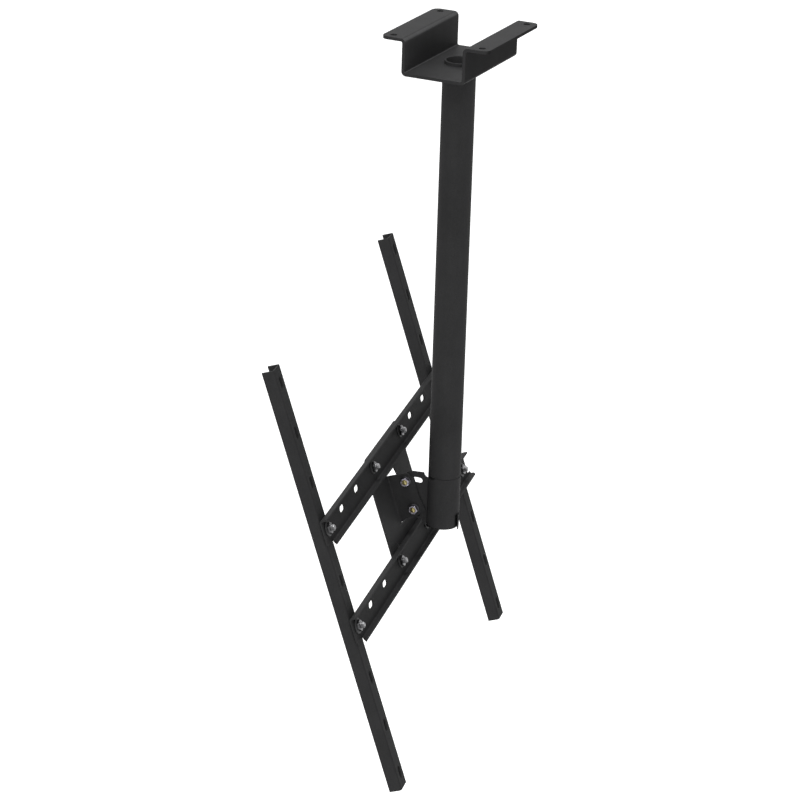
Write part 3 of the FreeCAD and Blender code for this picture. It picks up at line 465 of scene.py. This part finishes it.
many("threaded_upright_bolts", "upright_bolts", bolts_of(OUTER, -1.5, 11.0))
many("threaded_plate_bolts", "plate_bolts", bolts_of(INNER, -2.0, 11.5))
many("chamfered_upright_nuts", "upright_nuts", nuts_of(OUTER))
many("chamfered_plate_nuts", "plate_nuts", nuts_of(INNER))
many("rounded_upright_washers", "upright_washers", washers_of(OUTER, 7.75))
many("rounded_plate_washers", "plate_washers", washers_of(INNER, 6.5))
many("threaded_pivot_bolt", "pivot_bolt", lambda bm: bolt_mesh(
    bm, along(SWIVEL, -3.9, 27.621, -485.637), 2.5, 0.8, 10.9, 4.75, 2.75, 1.5, 3.0, True))
many("chamfered_pivot_nut", "pivot_nut", lambda bm: nut_mesh(
    bm, along(SWIVEL, -9.0, 27.621, -485.637), 8.0, 4.4, 2.5, 0.5))
many("threaded_lock_bolt", "lock_bolt", lambda bm: bolt_mesh(
    bm, along(FRAME, -2.7, 18.95, 17.6), 2.5, 0.8, 12.1, 4.75, 2.75, 1.5, 3.0, True))
many("chamfered_lock_nut", "lock_nut", lambda bm: nut_mesh(
    bm, along(FRAME, -9.0, 18.95, 17.6), 8.0, 4.4, 2.5, 0.2))


def pivot_washers(bm):
    washer_mesh(bm, along(SWIVEL, -5.5, 27.621, -485.637), 5.0, 2.65, 0.4)
    washer_mesh(bm, along(SWIVEL, -8.1, 27.621, -485.637), 5.0, 2.65, 0.9)


def lock_washers(bm):
    washer_mesh(bm, along(FRAME, -2.7, 18.95, 17.6), 5.0, 2.65, 1.0)
    washer_mesh(bm, along(FRAME, -8.0, 18.95, 17.6), 5.0, 2.65, 1.0)


many("rounded_pivot_washers", "pivot_washers", pivot_washers)
many("rounded_lock_washers", "lock_washers", lock_washers)


# ------------------------------------------------------------------ softened sheet edges
def softened(node, width):
    """The CAD piece with its sharp sheet edges slightly rounded, as coating leaves them."""
    bm = bmesh.new()
    bm.from_mesh(nodes[node].data)
    bmesh.ops.remove_doubles(bm, verts=bm.verts[:], dist=0.000002)
    bmesh.ops.dissolve_limit(bm, angle_limit=math.radians(0.4), use_dissolve_boundaries=False,
                             verts=bm.verts[:], edges=bm.edges[:])
    sharp = [e for e in bm.edges if len(e.link_faces) == 2
             and e.calc_face_angle(0.0) > math.radians(38.0)]
    bmesh.ops.bevel(bm, geom=sharp, offset=width * MM, offset_type="OFFSET", segments=2,
                    profile=0.5, affect="EDGES", clamp_overlap=True)
    bmesh.ops.triangulate(bm, faces=bm.faces[:])
    obj = finished("softened_" + node, bm, node, 40.0)
    weighted = obj.modifiers.new("weighted", "WEIGHTED_NORMAL")
    weighted.keep_sharp = True
    return obj


EDGES = {"ceiling_bracket": 0.35, "swivel_knuckle": 0.2, "tilt_plate": 0.25,
         "upper_rail": 0.3, "lower_rail": 0.3, "near_upright": 0.22, "far_upright": 0.22,
         "pole_tube": 0.2, "neck_tube": 0.2}
for node, width in EDGES.items():
    softened(node, width)

# ------------------------------------------------------------------ stage
def floor_material():
    m, t, b = material("pale_floor")
    L = t.links.new
    co = add(t, "ShaderNodeTexCoord")
    n = add(t, "ShaderNodeTexNoise", Scale=3.0, Detail=2.0)
    L(co.outputs["Object"], n.inputs["Vector"])
    r = add(t, "ShaderNodeValToRGB")
    r.color_ramp.elements[0].color = (0.90, 0.90, 0.90, 1)
    r.color_ramp.elements[1].color = (0.93, 0.93, 0.93, 1)
    L(n.outputs[0], r.inputs[0])
    L(r.outputs[0], b.inputs["Base Color"])
    b.inputs["Roughness"].default_value = 0.9
    b.inputs["Specular IOR Level"].default_value = 0.0
    b.inputs["Emission Color"].default_value = (1.0, 1.0, 1.0, 1)
    b.inputs["Emission Strength"].default_value = 0.55
    return m


floor_bm = bmesh.new()
bmesh.ops.create_circle(floor_bm, cap_ends=True, segments=96, radius=7.2)
mesh = bpy.data.meshes.new("floor")
floor_bm.to_mesh(mesh)
floor_bm.free()
floor = bpy.data.objects.new("floor", mesh)
floor.location = (0, 0, -1.55)
scene.collection.objects.link(floor)
mesh.materials.append(floor_material())

# a soft studio dome: even all round, a little brighter on the right, and with a
# wide light high up behind the object
world = bpy.data.worlds.new("studio")
scene.world = world
world.use_nodes = True
t = world.node_tree
bg = t.nodes["Background"]
co = add(t, "ShaderNodeTexCoord")


def towards(vector):
    n = add(t, "ShaderNodeVectorMath", operation="DOT_PRODUCT")
    t.links.new(co.outputs["Generated"], n.inputs[0])
    n.inputs[1].default_value = Vector(vector).normalized()
    return n.outputs["Value"]


side = spread(t, towards((0.3, -0.95, 0.0)), -0.9, 0.9, 0.30, 0.78)
lobe = spread(t, towards((-0.36, 0.76, 0.54)), 0.72, 1.0, 0.0, 1.7)
total = add(t, "ShaderNodeMath", operation="ADD")
t.links.new(side, total.inputs[0])
t.links.new(lobe, total.inputs[1])
t.links.new(total.outputs[0], bg.inputs[1])
bg.inputs[0].default_value = (1.0, 1.0, 1.0, 1)


def area(name, where, aim, width, height, power):
    data = bpy.data.lights.new(name, "AREA")
    data.shape = "RECTANGLE"
    data.size, data.size_y = width, height
    data.energy = power
    obj = bpy.data.objects.new(name, data)
    scene.collection.objects.link(obj)
    obj.location = where
    obj.rotation_euler = (Vector(aim) - Vector(where)).to_track_quat("-Z", "Y").to_euler()
    return obj


MIDDLE = Vector((0, 0, -0.33))
area("key", (1.4, -2.6, 1.8), MIDDLE, 0.5, 0.5, 14.0)
area("top", (0.0, -0.3, 2.6), MIDDLE, 0.8, 0.8, 56.0)
